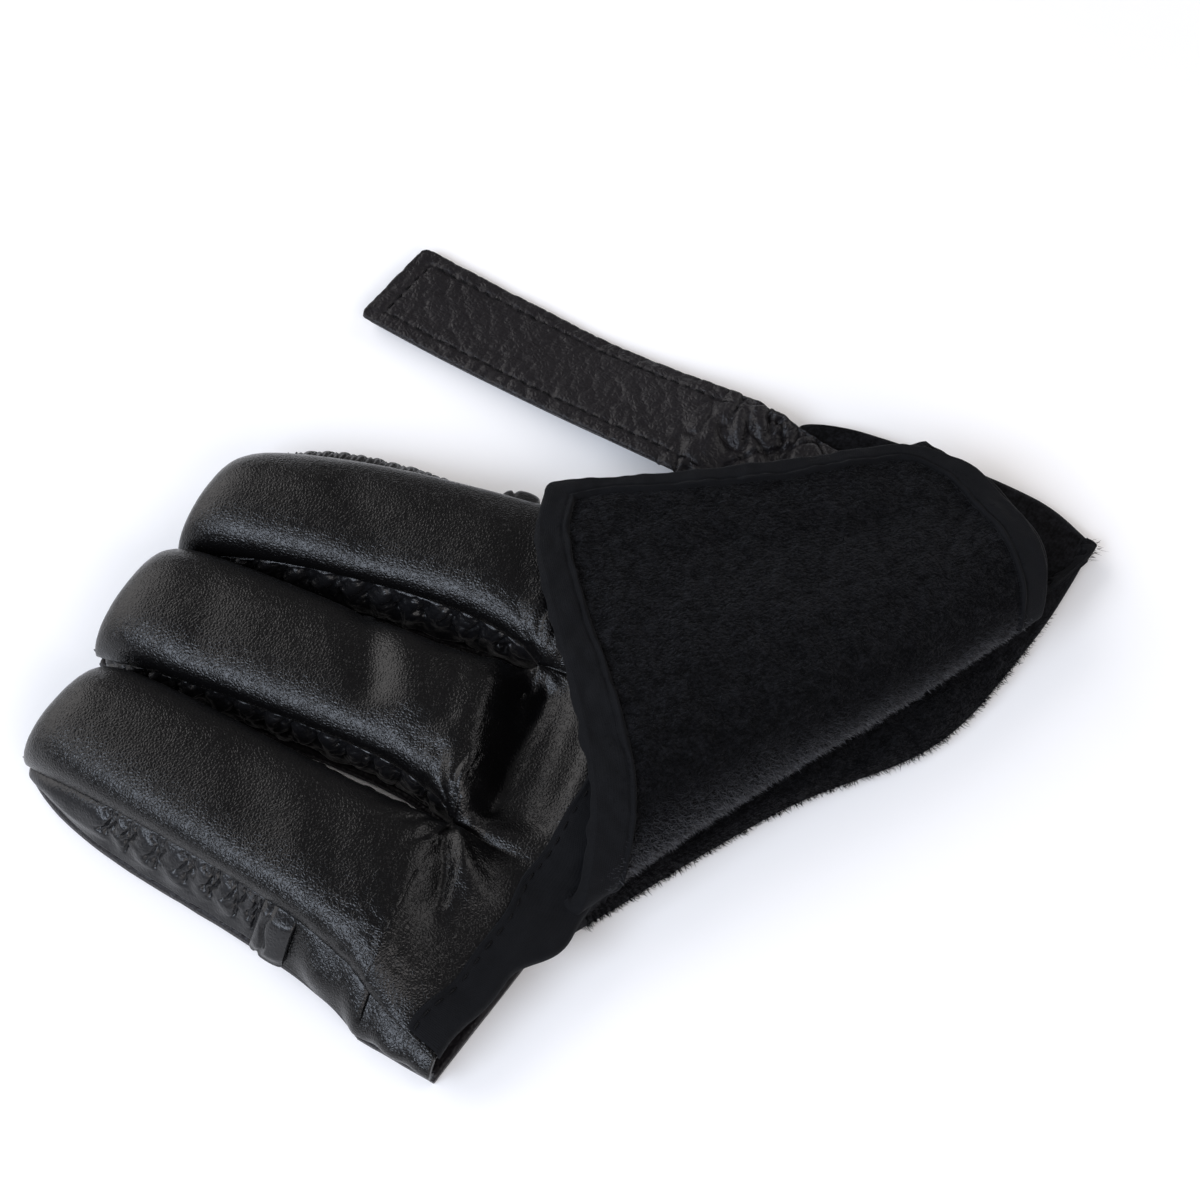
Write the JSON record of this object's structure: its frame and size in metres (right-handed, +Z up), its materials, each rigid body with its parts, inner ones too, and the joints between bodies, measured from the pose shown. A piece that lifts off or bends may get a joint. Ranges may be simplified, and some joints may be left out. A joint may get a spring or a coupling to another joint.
{
  "type": "archery glove",
  "caption": "Shooting glove with three closed leather finger stalls, a leather palm, gathered side strips and a bound fleece cuff folded over the palm, with a hook strap.",
  "frame": {"origin": "on the table, below the middle of the middle finger's base", "axes": "+X from the middle fingertip towards the wrist, +Y across the hand towards the strap, +Z up out of the table (the palm side)"},
  "size_m": [0.166, 0.1674, 0.0262],
  "materials": {
    "smooth_leather": "smooth black leather with a soft sheen",
    "soft_leather": "thin soft black leather, gathered",
    "grain_leather": "pebbled black leather",
    "fleece": "matte black brushed loop fleece",
    "tape": "matte black woven edge tape",
    "hook": "black hook tape, matte"
  },
  "bodies": {
    "root": {"palm_panel": "smooth_leather", "back_panel": "grain_leather", "forchette_near": "soft_leather", "forchette_far": "soft_leather", "gathered_side_near": "soft_leather", "gathered_side_far": "soft_leather", "gusset_near": "smooth_leather", "gusset_far": "smooth_leather", "mouth_tape": "tape", "cuff": "fleece", "flap_tape_left": "tape", "flap_tape_top": "tape", "flap_tape_right": "tape", "wrist_tape": "tape", "strap": "grain_leather", "hook_patch": "hook"}
  },
  "joints": []
}
